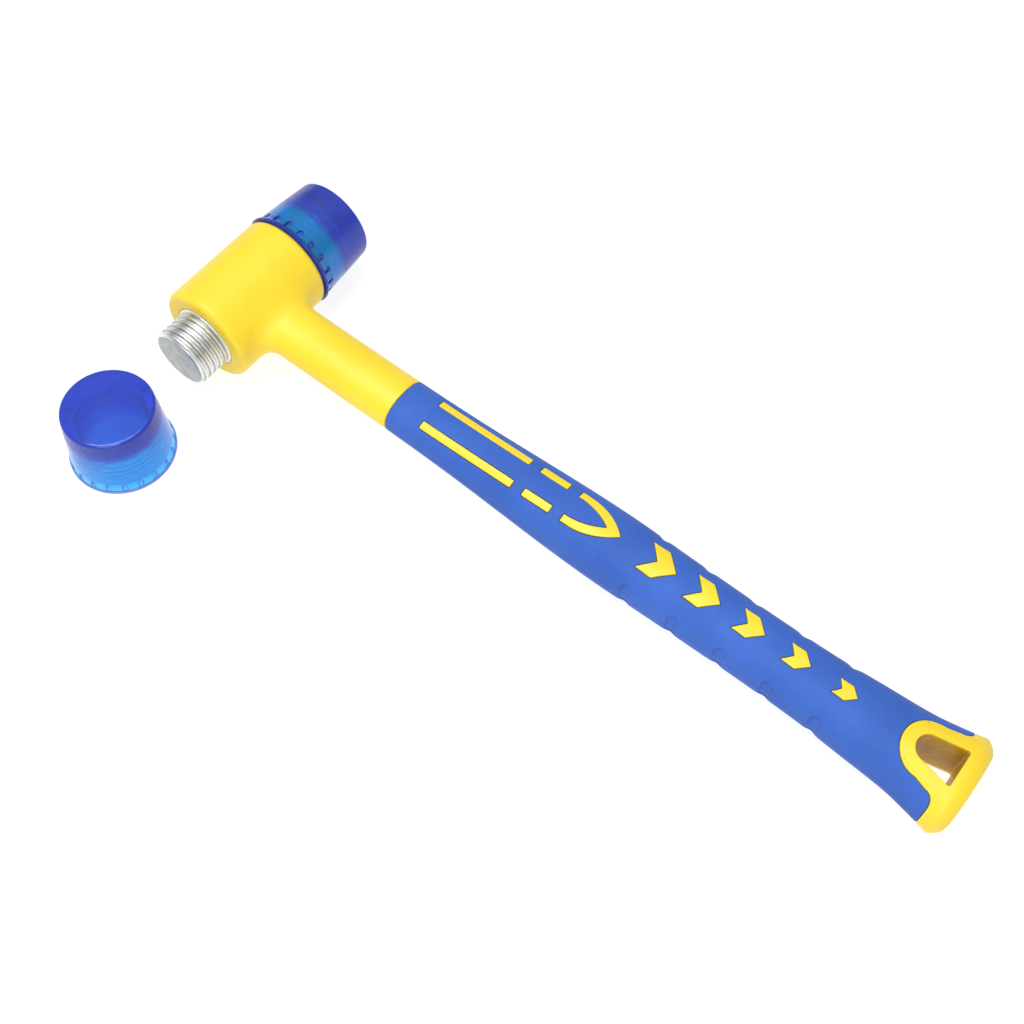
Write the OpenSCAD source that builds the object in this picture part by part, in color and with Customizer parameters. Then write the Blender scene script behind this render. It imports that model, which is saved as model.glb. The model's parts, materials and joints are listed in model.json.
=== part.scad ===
// Dead blow mallet with screw-on striking faces. One face is fitted, the other lies loose beside
// the bare stud. Millimetres. The mallet is designed about the centre of its head, with the handle
// along +X and the fitted face at +Y, and lay_down() then rests it on the surface z = 0, where the
// fitted face's flange, the casing's bare end and the butt touch.

/* [Head casing] */
// Radius of the moulded head casing
casing_r = 22.6; // [22:0.1:24]
// Length of the head casing along the head axis
casing_l = 53.6; // [50:0.2:56]
// Rounding of the casing's rims
casing_round = 2.5; // [1:0.1:3]
// Thickness of the casing round the steel barrel
casing_t = 3.6; // [3:0.1:5]
// Thickness of the casing over each end of the barrel
casing_end_t = 2.5; // [2:0.1:3]

/* [Barrel, studs and shot] */
// Radius of the shot chamber
chamber_r = 15.5; // [15:0.1:16]
// Radius of the collar at a stud's inner end
collar_r = 17; // [16.5:0.1:17.5]
// Thickness of the collar
collar_t = 5; // [4:0.5:6]
// Major radius of the studs' M28 thread
stud_r = 14; // [13:0.1:14.2]
// Radius of the plain shoulder below the thread, inside the casing's end
shoulder_r = 14.8; // [14.4:0.1:15]
// Length of stud that stands out of the casing
stud_out = 15.7; // [14:0.1:17]
// Chamfer at the stud's end
stud_chamfer = 1; // [0.5:0.1:1.5]
// Diameter of one steel ball
ball_d = 6; // [5:0.5:6]

/* [Striking faces] */
// Height of a face, from its flange to its striking end
face_h = 31.5; // [30:0.5:34]
// Radius of the striking end
face_r = 20; // [18:0.5:21]
// Radius of the skirt where it meets the flange
skirt_r = 22.4; // [21.4:0.1:22.8]
// Radius of the flange
flange_r = 23.2; // [22.8:0.1:24]
// Thickness of the flange
flange_t = 2.2; // [1.5:0.1:3]
// Depth of the threaded hole in a face
face_bore_l = 20.5; // [18:0.5:22]
// Radial clearance of a face's thread on its stud
thread_gap = 0.1; // [0.05:0.05:0.1]
// Rounding of the striking edge
face_round = 1.6; // [1:0.1:3]
// Scoops round the skirt just above the flange, to turn a face by hand
scoop_count = 24; // [12:4:32]
// Gap between the fitted face and the casing
face_gap = 0.3; // [0.2:0.1:0.5]
// Distance from the head's centre to the loose face's axis, along the head
loose_y = 82.4; // [75:0.1:110]
// Distance of the loose face's axis from the head's axis, towards the butt
loose_x = -0.5; // [-2:0.1:10]

/* [Handle] */
// Distance from the head's axis to the end of the butt
handle_l = 364; // [362:1:370]
// Where the grip sleeve starts
grip_x = 90.5; // [85:0.5:95]
// Thickness of the grip sleeve
sleeve_t = 2.4; // [2:0.1:2.6]
// Half the neck's width
neck_w = 12.8; // [12:0.1:13]
// Half the neck's thickness
neck_t = 9.7; // [9.4:0.1:10]
// Radius of the fibreglass rod
rod_r = 5.5; // [5:0.1:6]
// Wall of the steel socket that holds the rod
socket_wall = 1.8; // [1.5:0.1:2]
// Gap between the sleeve's windows and the inlays that stand in them
seam = 0.15; // [0.1:0.05:0.3]

/* [Hidden] */
$fn = 96;
yellow = [0.98, 0.86, 0.12];
blue = [0.16, 0.33, 0.76];
face_blue = [0.12, 0.22, 0.8, 0.7];
steel = [0.62, 0.63, 0.65];

// The grip's outer shape: [distance from the head, half width, half thickness]
grip_shape = [[grip_x, 12.6, 9.6], [110, 12.8, 9.9], [132, 13.3, 10.7], [156, 14.2, 11.8],
              [180, 15, 13], [202, 15.2, 13.7], [228, 14.5, 14], [250, 14.1, 13.9],
              [275, 14, 13.7], [298, 14.5, 13.5], [316, 15.8, 13.5], [338, 17.4, 13.8],
              [350, 19.6, 14], [handle_l - 5, 21.8, 14.2]];
butt_t = grip_shape[len(grip_shape) - 1][2];
butt_w = grip_shape[len(grip_shape) - 1][1];
// The butt's last stretch, over which its edges round off, and how far they round in
butt_round_l = 5;
butt_round_w = 5;
butt_round_t = 3;
// The rounding's power: 2 is a quarter circle and 1 a flat chamfer
butt_round_power = 1.4;
// The handle's sections are superellipses of these powers
section_power = 2.3;
neck_power = 2.1;
section_points = 32;
grip_stations = 32;

// Barrel and stud places along the head's axis
barrel_r = casing_r - casing_t;
barrel_l = casing_l - 2 * casing_end_t;
chamber_l = barrel_l - 2 * collar_t;

// Steel socket, welded into the barrel's wall, with the rod and the pin through both
socket_r = rod_r + socket_wall;
socket_x = chamber_r + 0.6;
socket_floor = 2;
socket_end_x = 52;
pin_x = 40;
pin_r = 1.5;
rod_end_x = 326;

// Flare of the neck into the casing, and the length over which it fades
flare_x = 19;
flare_w = 9;
flare_t = 6.5;
flare_fade = 5.5;
neck_start_x = 12;

// Inlays, in plan
bar_y = 6.6;
bar_w = 3.6;
bar_x = 105.6;
bar_l = 47.9;
dash_x = 159;
dash_l = 14;
arch_x = 178.6;
arch_tip_x = 203;
arch_half = 8.4;
chevron_tip_x = 229.7;
chevron_pitch = 20.7;
chevron_count = 5;

// Yellow tongue and D-shaped hang hole in the butt, in plan
tongue_x = 344.5;
tongue_r = 12.2;
butt_block_x = 354;
tongue_flare = 2.2;
tongue_fillet = 4;
hang_x = 343.8;
hang_r = 5.8;
hang_end_x = 356.3;
hang_end_half = 8.4;
hang_corner = 1;

// Rest on the surface: contact of flange and casing gives the roll, contact of the butt the pitch
flange_y = casing_l / 2 + face_gap;
bare_y = casing_l / 2 - casing_round;
bare_r = casing_r - casing_round;
tilt = atan((flange_r - casing_r) / (flange_y + bare_y));
head_h = flange_r * cos(tilt) - flange_y * sin(tilt);
butt_x = handle_l - butt_round_l;
pitch = asin(head_h / norm([butt_x, butt_t])) - atan(butt_t / butt_x);
roll = asin(sin(tilt) / cos(pitch));

// The origin: middle of everything, at the surface
face_end_y = casing_l / 2 + face_gap + face_h;
x_low = min(0, loose_x) - flange_r;
x_high = handle_l * cos(pitch) + (butt_t - butt_round_t) * sin(pitch) * cos(roll);
y_low = -loose_y - flange_r;
y_high = face_end_y * cos(roll) + (face_r - face_round) * sin(roll);
origin_x = (x_low + x_high) / 2;
origin_y = (y_low + y_high) / 2;

module lay_down()
    translate([-origin_x, -origin_y, head_h])
        rotate([roll, pitch, 0])
            children();

// Turns a shape made about +Z so that it lies along +Y
module along_y()
    rotate([-90, 0, 0])
        children();

module along_x()
    rotate([0, 90, 0])
        children();

// ---- Smooth handle shape ----

function station_of(x, table, i = 0) =
    (i >= len(table) - 2 || x < table[i + 1][0]) ? i : station_of(x, table, i + 1);

function slope(table, i, k) =
    let (a = max(i - 1, 0), b = min(i + 1, len(table) - 1))
    (table[b][k] - table[a][k]) / (table[b][0] - table[a][0]);

// Cubic curve through the table's column k at x
function curve_at(x, table, k) =
    let (i = station_of(x, table), run = table[i + 1][0] - table[i][0], u = (x - table[i][0]) / run)
    (1 + 2 * u) * (1 - u) * (1 - u) * table[i][k] + u * (1 - u) * (1 - u) * run * slope(table, i, k)
    + u * u * (3 - 2 * u) * table[i + 1][k] + u * u * (u - 1) * run * slope(table, i + 1, k);

function power_of(v, p) = sign(v) * pow(abs(v), p);

// One ring of the handle: a superellipse of half width w and half thickness t at x
function ring(x, w, t, power) = [for (i = [0 : section_points - 1])
    let (a = 360 * i / section_points)
    [x, w * power_of(cos(a), 2 / power), t * power_of(sin(a), 2 / power)]];

// A closed solid through rings that all have section_points points
module skin(rings) {
    n = section_points;
    last = len(rings) - 1;
    points = [for (r = rings) each r];
    sides = [for (k = [0 : last - 1], i = [0 : n - 1])
        [k * n + i, (k + 1) * n + i, (k + 1) * n + (i + 1) % n, k * n + (i + 1) % n]];
    start = [for (i = [0 : n - 1]) i];
    end = [for (i = [n - 1 : -1 : 0]) last * n + i];
    polyhedron(points, concat([start], sides, [end]), convexity = 6);
}

// Where the rings of the grip stand, from its front to the start of the butt's rounding
grip_stops = [for (i = [0 : grip_stations]) grip_x + (butt_x - grip_x) * i / grip_stations];

// One ring of the butt's rounding, at an angle a from its start
function butt_ring(a) =
    let (along = power_of(sin(a), 2 / butt_round_power), inwards = 1 - power_of(cos(a), 2 / butt_round_power))
    ring(butt_x + butt_round_l * along, butt_w - butt_round_w * inwards,
         butt_t - butt_round_t * inwards, section_power);

// The outside of the grip and butt
module handle_outside()
    skin(concat(
        [for (x = grip_stops)
            ring(x, curve_at(x, grip_shape, 1), curve_at(x, grip_shape, 2), section_power)],
        [for (a = [22.5 : 22.5 : 90]) butt_ring(a)]));

// How much of the neck's flare is left at x
function flare_at(x) = exp(-max(0, x - flare_x) / flare_fade);

neck_stops = concat([neck_start_x], [for (i = [0 : 10]) flare_x + 2 * i], [60, grip_x]);
module neck()
    skin([for (x = neck_stops)
        ring(x, neck_w + flare_w * flare_at(x), neck_t + flare_t * flare_at(x), neck_power)]);

// The handle under the sleeve. It starts inside the neck and ends inside the butt.
core_from = grip_x - 20;
module handle_core() {
    front = [grip_shape[0][1] - sleeve_t, grip_shape[0][2] - sleeve_t];
    skin(concat([ring(core_from, front[0], front[1], section_power)],
        [for (x = grip_stops) if (x < tongue_x)
            ring(x, curve_at(x, grip_shape, 1) - sleeve_t, curve_at(x, grip_shape, 2) - sleeve_t,
                 section_power)]));
}

// ---- Plan shapes ----

// A round-shouldered pointed arch from x = 0 to its tip
module arch_plan(half, straight, tip) {
    run = tip - straight;
    r = (run * run + half * half) / (2 * half);
    translate([0, -half])
        square([straight, 2 * half]);
    intersection() {
        translate([straight, half - r])
            circle(r, $fn = 180);
        translate([straight, r - half])
            circle(r, $fn = 180);
        translate([straight, -half])
            square([run, 2 * half]);
    }
}

module chevron_plan(n) {
    half = 7.3 - 0.88 * n;
    length = 15.5 - 1.4 * n;
    notch = 9.3 - 0.55 * n;
    polygon([[0, 0], [-1.03 * half, half], [-length, 0.95 * half], [-notch, 0],
             [-length, -0.95 * half], [-1.03 * half, -half]]);
}

module inlay_plan() {
    for (side = [-1, 1]) {
        translate([bar_x, side * bar_y - bar_w / 2])
            square([bar_l, bar_w]);
        translate([dash_x, side * bar_y - bar_w / 2])
            square([dash_l, bar_w]);
    }
    translate([arch_x, 0])
        difference() {
            arch_plan(arch_half, 4, arch_tip_x - arch_x);
            translate([-1, 0])
                arch_plan(arch_half - 3.4, 2, arch_tip_x - arch_x - 6);
        }
    for (n = [0 : chevron_count - 1])
        translate([chevron_tip_x + n * chevron_pitch, 0])
            chevron_plan(n);
}

// What is yellow at the butt: the end block, with a tongue that reaches towards the head
module butt_plan()
    offset(r = -tongue_fillet, $fn = 48)
        offset(delta = tongue_fillet) {
            translate([tongue_x, 0])
                circle(tongue_r, $fn = 64);
            polygon([[tongue_x, -tongue_r], [butt_block_x, -tongue_r - tongue_flare],
                     [butt_block_x, tongue_r + tongue_flare], [tongue_x, tongue_r]]);
            translate([butt_block_x, -2 * butt_w])
                square([handle_l - butt_block_x + 1, 4 * butt_w]);
        }

module hang_plan()
    hull() {
        translate([hang_x, 0])
            circle(hang_r, $fn = 48);
        for (side = [-1, 1])
            translate([hang_end_x - hang_corner, side * (hang_end_half - hang_corner)])
                circle(hang_corner, $fn = 24);
    }

module through(half = 20)
    translate([0, 0, -half])
        linear_extrude(2 * half)
            children();

// ---- Moulded body ----

module casing()
    along_y()
        rotate_extrude()
            polygon(concat(
                [[0, -casing_l / 2]],
                [for (a = [-90 : 15 : 0]) [bare_r + casing_round * cos(a), casing_round * sin(a) - bare_y]],
                [for (a = [0 : 15 : 90]) [bare_r + casing_round * cos(a), casing_round * sin(a) + bare_y]],
                [[0, casing_l / 2]]));

module moulded_body()
    color(yellow)
        lay_down()
            difference() {
                union() {
                    casing();
                    neck();
                    handle_core();
                    intersection() {
                        handle_outside();
                        through() {
                            inlay_plan();
                            butt_plan();
                        }
                    }
                }
                along_y()
                    cylinder(r = barrel_r, h = barrel_l, center = true);
                along_y()
                    cylinder(r = shoulder_r, h = casing_l + 2, center = true);
                translate([barrel_r - 2, 0, 0])
                    along_x()
                        cylinder(r = socket_r, h = socket_end_x - barrel_r + 2);
                translate([barrel_r, 0, 0])
                    along_x()
                        cylinder(r = rod_r, h = rod_end_x - barrel_r);
                through()
                    hang_plan();
            }

// ---- Grip sleeve ----

// Shallow finger notches down both sides of the grip
finger_x = 216;
finger_pitch = 22.1;
finger_r = 3;
finger_depth = 0.8;
finger_count = 5;
finger_h = 14;
module finger_notches()
    for (n = [0 : finger_count - 1], side = [-1, 1]) {
        x = finger_x + n * finger_pitch;
        translate([x, side * (curve_at(x, grip_shape, 1) - finger_depth + finger_r), 0])
            cylinder(r = finger_r, h = finger_h, center = true, $fn = 32);
    }

module grip_sleeve()
    color(blue)
        lay_down()
            difference() {
                handle_outside();
                handle_core();
                through()
                    offset(delta = seam)
                        inlay_plan();
                through()
                    butt_plan();
                finger_notches();
            }

// ---- Head internals ----

module barrel()
    color(steel)
        lay_down()
            difference() {
                along_y()
                    cylinder(r = barrel_r, h = barrel_l, center = true);
                along_y()
                    cylinder(r = chamber_r, h = barrel_l + 2, center = true);
                for (end = [-1, 1])
                    translate([0, end * (chamber_l + collar_t) / 2, 0])
                        along_y()
                            cylinder(r = collar_r, h = collar_t + 0.001, center = true);
                along_x()
                    cylinder(r = socket_r, h = barrel_r + 2);
            }

// A threaded plug along +Z: a collar that closes the chamber, and the stud that carries a face
module stud() {
    cylinder(r = collar_r, h = collar_t);
    translate([0, 0, collar_t])
        cylinder(r = shoulder_r, h = casing_end_t);
    translate([0, 0, collar_t + casing_end_t])
        cylinder(r = stud_r, h = stud_out - stud_chamfer);
    translate([0, 0, collar_t + casing_end_t + stud_out - stud_chamfer])
        cylinder(r1 = stud_r, r2 = stud_r - stud_chamfer, h = stud_chamfer);
}

module left_stud()
    color(steel)
        lay_down()
            rotate([90, 0, 0])
                translate([0, 0, chamber_l / 2])
                    stud();

module right_stud()
    color(steel)
        lay_down()
            rotate([-90, 0, 0])
                translate([0, 0, chamber_l / 2])
                    stud();

// Balls in close rows that fill the lower part of the chamber, run down to its bare end
ball_pitch = ball_d + 0.1;
ball_row = ball_pitch * sqrt(3) / 2;
ball_slices = 5;
ball_reach = chamber_r - ball_d / 2 - 0.1;
module steel_shot()
    color(steel)
        lay_down()
            for (slice = [0 : ball_slices - 1], row = [-2 : 1], i = [-3 : 3]) {
                x = (i + (row % 2 == 0 ? 0.5 : 0)) * ball_pitch;
                z = row * ball_row;
                y = -chamber_l / 2 + 0.3 + ball_d / 2 + slice * ball_pitch;
                if (norm([x, z]) < ball_reach)
                    translate([x, y, z])
                        sphere(d = ball_d, $fn = 24);
            }

module handle_socket()
    color(steel)
        lay_down()
            difference() {
                translate([socket_x, 0, 0])
                    along_x()
                        cylinder(r = socket_r, h = socket_end_x - socket_x);
                translate([socket_x + socket_floor, 0, 0])
                    along_x()
                        cylinder(r = rod_r, h = socket_end_x);
                translate([pin_x, 0, 0])
                    cylinder(r = pin_r, h = 4 * socket_r, center = true, $fn = 32);
            }

module socket_pin()
    color(steel)
        lay_down()
            translate([pin_x, 0, 0])
                cylinder(r = pin_r, h = 2 * socket_r - 0.6, center = true, $fn = 32);

module fibreglass_rod()
    color([0.85, 0.84, 0.75])
        lay_down()
            difference() {
                translate([socket_x + socket_floor, 0, 0])
                    along_x()
                        cylinder(r = rod_r, h = rod_end_x - socket_x - socket_floor);
                translate([pin_x, 0, 0])
                    cylinder(r = pin_r, h = 4 * rod_r, center = true, $fn = 32);
            }

// ---- Striking faces ----

scoop_r = 1.8;
scoop_h = 3.8;
scoop_depth = 0.6;

// A face standing on its flange, striking end up
module striking_face()
    difference() {
        rotate_extrude()
            polygon(concat(
                [[0, face_bore_l], [stud_r + thread_gap, face_bore_l], [stud_r + thread_gap, 0],
                 [flange_r, 0], [flange_r, flange_t], [skirt_r, flange_t]],
                [for (a = [0 : 15 : 90])
                    [face_r - face_round * (1 - cos(a)), face_h - face_round * (1 - sin(a))]],
                [[0, face_h]]));
        for (n = [0 : scoop_count - 1])
            rotate([0, 0, 360 * n / scoop_count])
                translate([skirt_r + scoop_r - scoop_depth, 0, flange_t + 0.2])
                    cylinder(r = scoop_r, h = scoop_h, $fn = 24);
    }

module right_face()
    color(face_blue)
        lay_down()
            translate([0, casing_l / 2 + face_gap, 0])
                along_y()
                    striking_face();

module left_face()
    color(face_blue)
        translate([loose_x - origin_x, -origin_y - loose_y, 0])
            striking_face();

moulded_body();
grip_sleeve();
barrel();
left_stud();
right_stud();
steel_shot();
handle_socket();
socket_pin();
fibreglass_rod();
right_face();
left_face();
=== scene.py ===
import json
import math

import bpy
import numpy as np
from mathutils import Matrix, Vector, geometry


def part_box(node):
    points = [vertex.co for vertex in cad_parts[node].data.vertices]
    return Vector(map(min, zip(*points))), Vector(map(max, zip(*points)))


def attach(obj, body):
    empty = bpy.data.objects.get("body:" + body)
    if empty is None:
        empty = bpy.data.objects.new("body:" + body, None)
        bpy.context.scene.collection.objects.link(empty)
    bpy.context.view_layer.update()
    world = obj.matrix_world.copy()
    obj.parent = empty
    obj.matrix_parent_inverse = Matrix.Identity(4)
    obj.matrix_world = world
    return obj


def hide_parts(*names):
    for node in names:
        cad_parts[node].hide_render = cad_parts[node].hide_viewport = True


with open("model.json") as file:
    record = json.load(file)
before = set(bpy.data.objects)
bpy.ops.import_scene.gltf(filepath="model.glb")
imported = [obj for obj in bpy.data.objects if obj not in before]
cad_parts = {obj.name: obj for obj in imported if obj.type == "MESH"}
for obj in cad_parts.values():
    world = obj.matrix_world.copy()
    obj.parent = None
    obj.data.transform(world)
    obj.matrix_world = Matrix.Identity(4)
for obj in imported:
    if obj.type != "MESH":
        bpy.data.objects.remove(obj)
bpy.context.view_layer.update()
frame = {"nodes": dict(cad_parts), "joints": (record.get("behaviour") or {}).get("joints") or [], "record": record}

# Shapes are worked out in millimetres about the centre of the mallet's head, with the handle along
# +X, the fitted face at +Y and the upper side at +Z, and then placed by the frame's own axes.
MM = 0.001

# ---- Where the frame puts the mallet ----

joint_axes = {joint["name"]: Vector(joint["axis"]).normalized() for joint in frame["joints"]}
mounts = {mount["name"]: mount for mount in frame["record"]["mounts"]}
head_axis = joint_axes["face_unscrew"]
upper_side = Vector(mounts["hang_hole"]["axis"]).normalized()
handle_axis = head_axis.cross(upper_side)
head_centre = (Vector(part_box("barrel")[0]) + Vector(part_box("barrel")[1])) / 2


def placement(x_axis, y_axis, z_axis, origin):
    """Matrix that takes millimetres along these axes to metres in the frame."""
    turned = Matrix((x_axis, y_axis, z_axis)).transposed().to_4x4()
    return Matrix.Translation(origin) @ turned @ Matrix.Scale(MM, 4)


MALLET = placement(handle_axis, head_axis, upper_side, head_centre)
# Round pieces are made standing on z = 0. These lay them along the head's axis or stand them up.
TO_RIGHT = MALLET @ Matrix.Rotation(math.radians(-90), 4, "X")
TO_LEFT = MALLET @ Matrix.Rotation(math.radians(90), 4, "X")
loose_place = Vector(mounts["loose_face_thread"]["pos_m"])
loose_turn = Matrix.Rotation(math.radians(-5), 4, "Z")
LOOSE = placement(Vector((1, 0, 0)), Vector((0, 1, 0)), Vector((0, 0, 1)),
                  Vector((loose_place.x, loose_place.y, 0))) @ loose_turn

# ---- Sizes in millimetres: the CAD model's, but for the sleeve's thickness and the bore's radius ----

CASING_R = 22.6
CASING_HALF = 26.8
CASING_ROUND = 2.5
BARREL_R = 19.0
BARREL_HALF = 24.3
SHOULDER_R = 14.8
STUD_R = 14.0
STUD_OUT = 15.7
COLLAR_R = 17.0
COLLAR_T = 5.0
FACE_GAP = 0.3
FACE_H = 31.5
FACE_R = 20.0
FACE_ROUND = 1.6
SKIRT_R = 22.4
FLANGE_R = 23.2
FACE_BORE_R = 14.12
FACE_BORE_L = 20.5
NECK_W = 12.8
NECK_T = 9.7
NECK_POWER = 2.1
GRIP_X = 90.5
SLEEVE_T = 2.2
CORE_INSET = 2.4
CORE_END_X = 336.0
GRIP_POWER = 2.3
GRIP_SHAPE = [(GRIP_X, 12.6, 9.6), (110, 12.8, 9.9), (132, 13.3, 10.7), (156, 14.2, 11.8),
              (180, 15, 13), (202, 15.2, 13.7), (228, 14.5, 14), (250, 14.1, 13.9),
              (275, 14, 13.7), (298, 14.5, 13.5), (316, 15.8, 13.5), (338, 17.4, 13.8),
              (350, 19.6, 14), (359, 21.8, 14.2)]
BUTT_X = 359.0
BUTT_ROUND_L = 5.0
BUTT_ROUND_W = 5.0
BUTT_ROUND_T = 3.0
BUTT_ROUND_POWER = 1.4
BUTT_ARC = BUTT_ROUND_L * math.pi / 2

# ---- Sizes that the CAD model leaves out or has otherwise ----

THREAD_PITCH = 3.0
THREAD_DEPTH = 1.1
HOLE_THREAD_DEPTH = 1.2
THREAD_START = COLLAR_T + 2.6
FACE_RELIEF_R = 15.8
FACE_RELIEF_L = 3.0
SKIRT_FOOT = 1.5
SCOOPS = 20
SCOOP_HALF = 1.1
SCOOP_TOP = 3.9
SCOOP_DEPTH = 0.9
SCOOP_ZONE = 7.2
COLUMNS_PER_SCOOP = 26

# ---- Mesh helpers ----


def new_piece(name, points, faces, matrix, body, slot, nodes, material, sharp=40, **marks):
    """A smooth-shaded mesh object in the frame that rides a body and stands for CAD nodes.
    marks are named numbers from 0 to 1 for each point, which its material may follow."""
    mesh = bpy.data.meshes.new(name)
    mesh.from_pydata([tuple(p) for p in points], [], [tuple(f) for f in faces])
    for mark, values in marks.items():
        mesh.attributes.new(mark, "FLOAT", "POINT").data.foreach_set("value", values)
    mesh.transform(matrix)
    mesh.validate()
    mesh.shade_smooth()
    mesh.set_sharp_from_angle(angle=math.radians(sharp))
    mesh.materials.append(material)
    piece = bpy.data.objects.new(name, mesh)
    bpy.context.scene.collection.objects.link(piece)
    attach(piece, body)
    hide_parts(*nodes)
    return piece


def joined(*parts):
    """One list of points and one of faces from several (points, faces)."""
    points, faces = [], []
    for part_points, part_faces in parts:
        base = len(points)
        points.extend(map(tuple, part_points))
        faces.extend(tuple(int(i) + base for i in face) for face in part_faces)
    return points, faces


def grid_faces(rows, columns, closed=True):
    """Quads between rows of points, each row a ring when closed."""
    faces = []
    for r in range(rows - 1):
        for c in range(columns if closed else columns - 1):
            d = (c + 1) % columns
            faces.append((r * columns + c, r * columns + d, (r + 1) * columns + d, (r + 1) * columns + c))
    return faces


def power_of(value, power):
    return np.sign(value) * np.abs(value) ** power


def smooth_step(value):
    value = np.clip(value, 0, 1)
    return value * value * (3 - 2 * value)


def curve_at(x, column):
    """The grip's half width (column 1) or half thickness (column 2) at x, on a smooth curve."""
    table = np.array(GRIP_SHAPE, float)
    knots, values = table[:, 0], table[:, column]
    slopes = np.empty_like(values)
    slopes[1:-1] = (values[2:] - values[:-2]) / (knots[2:] - knots[:-2])
    slopes[0] = (values[1] - values[0]) / (knots[1] - knots[0])
    slopes[-1] = (values[-1] - values[-2]) / (knots[-1] - knots[-2])
    x = np.asarray(x, float)
    i = np.clip(np.searchsorted(knots, x, side="right") - 1, 0, len(knots) - 2)
    run = knots[i + 1] - knots[i]
    u = np.clip((x - knots[i]) / run, 0, 1)
    return ((1 + 2 * u) * (1 - u) ** 2 * values[i] + u * (1 - u) ** 2 * run * slopes[i]
            + u * u * (3 - 2 * u) * values[i + 1] + u * u * (u - 1) * run * slopes[i + 1])


# ---- Casing and neck: the zero surface of a distance field ----


def rounded_cylinder(x, y, z, radius, half, rounding):
    """Distance to a cylinder along Y."""
    a = np.hypot(x, z) - radius + rounding
    b = np.abs(y) - half + rounding
    return np.minimum(np.maximum(a, b), 0) + np.hypot(np.maximum(a, 0), np.maximum(b, 0)) - rounding


def bar_distance(y, z, w, t, power):
    """Distance, measured outwards from the axis, to a long bar of superellipse section."""
    out = np.hypot(y, z) + 1e-9
    reach = ((np.abs(y) / w) ** power + (np.abs(z) / t) ** power) ** (1 / power) + 1e-9
    return out * (1 - 1 / reach)


def smooth_max(a, b, k):
    h = np.maximum(k - np.abs(a - b), 0) / k
    return np.maximum(a, b) + h * h * k / 4


def body_field(x, y, z):
    """Distance to the head casing with the neck, hollow where the barrel and studs go."""
    fillet = 8.5
    casing = rounded_cylinder(x, y, z, CASING_R, CASING_HALF, CASING_ROUND)
    neck = bar_distance(y, z, NECK_W, NECK_T, NECK_POWER)
    neck = smooth_max(neck, x - GRIP_X + 0.1, 0.8)
    neck = np.maximum(neck, 4 - x)
    solid = -smooth_max(-casing, -neck, fillet)
    barrel = rounded_cylinder(x, y, z, BARREL_R + 0.05, BARREL_HALF + 0.05, 0.3)
    hole = np.hypot(x, z) - SHOULDER_R - 0.05
    return smooth_max(np.maximum(solid, -barrel), -hole, 0.8)


def surface_of(field, low, high, cell):
    """Points and quads of the surface where field is 0, one point in each cell that it crosses."""
    axes = [np.arange(a, b + cell, cell) for a, b in zip(low, high)]
    gx, gy, gz = np.meshgrid(*axes, indexing="ij")
    inside = field(gx, gy, gz) < 0
    count = np.zeros([n - 1 for n in inside.shape], int)
    for dx in (0, 1):
        for dy in (0, 1):
            for dz in (0, 1):
                count += inside[dx:inside.shape[0] - 1 + dx, dy:inside.shape[1] - 1 + dy,
                                dz:inside.shape[2] - 1 + dz]
    crossed = (count > 0) & (count < 8)
    index = -np.ones(crossed.shape, int)
    index[crossed] = np.arange(crossed.sum())
    cells = np.argwhere(crossed)
    points = np.array(low) + (cells + 0.5) * cell
    step = 0.01
    for _ in range(5):
        value = field(*points.T)
        slopes = []
        for unit in np.eye(3):
            rise = field(*(points + step * unit).T) - field(*(points - step * unit).T)
            slopes.append(rise / (2 * step))
        gradient = np.stack(slopes, 1)
        steepness = np.maximum((gradient ** 2).sum(1), 0.05)
        points -= np.clip((value / steepness)[:, None] * gradient, -cell, cell)
    faces = []
    for axis in range(3):
        a = np.moveaxis(inside, axis, 0)
        cell_index = np.moveaxis(index, axis, 0)
        flips = a[:-1, 1:-1, 1:-1] != a[1:, 1:-1, 1:-1]
        i, j, k = np.nonzero(flips)
        ring = np.stack([cell_index[i, j, k], cell_index[i, j + 1, k],
                         cell_index[i, j + 1, k + 1], cell_index[i, j, k + 1]], 1)
        # moveaxis keeps the other two axes in order, which is left-handed for the middle one
        outward = a[:-1, 1:-1, 1:-1][i, j, k] != (axis == 1)
        ring[~outward] = ring[~outward][:, ::-1]
        faces.append(ring)
    return points, np.concatenate(faces)


def swept_core():
    """The handle's core under the sleeve, closed at both ends."""
    columns = 64
    stops = np.concatenate([[GRIP_X - 20], np.linspace(GRIP_X, CORE_END_X, 60)])
    angles = np.linspace(0, 2 * np.pi, columns, endpoint=False)
    rings = []
    for x in stops:
        w = curve_at(x, 1) - CORE_INSET
        t = curve_at(x, 2) - CORE_INSET
        rings.append(np.stack([np.full(columns, x), w * power_of(np.cos(angles), 2 / GRIP_POWER),
                               t * power_of(np.sin(angles), 2 / GRIP_POWER)], 1))
    faces = [face[::-1] for face in grid_faces(len(stops), columns)]
    faces += [tuple(range(columns))[::-1], tuple((len(stops) - 1) * columns + i for i in range(columns))]
    return np.concatenate(rings), [face[::-1] for face in faces]


# ---- Outlines of the inlays, tongue and hang hole, in plan ----


def arc(centre_x, centre_y, radius, start, end, points):
    a = np.radians(np.linspace(start, end, points))
    return [(centre_x + radius * math.cos(v), centre_y + radius * math.sin(v)) for v in a]


def bar_outline(x, y, length, width):
    return [(x, y - width / 2), (x + length, y - width / 2), (x + length, y + width / 2), (x, y + width / 2)]


def arch_side(x, half, straight, tip):
    """Points along one flank of a pointed arch, from its open end to its tip."""
    run = tip - straight
    radius = (run * run + half * half) / (2 * half)
    sweep = math.degrees(math.asin(run / radius))
    return [(x, half)] + arc(x + straight, half - radius, radius, 90, 90 - sweep, 16)


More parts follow.
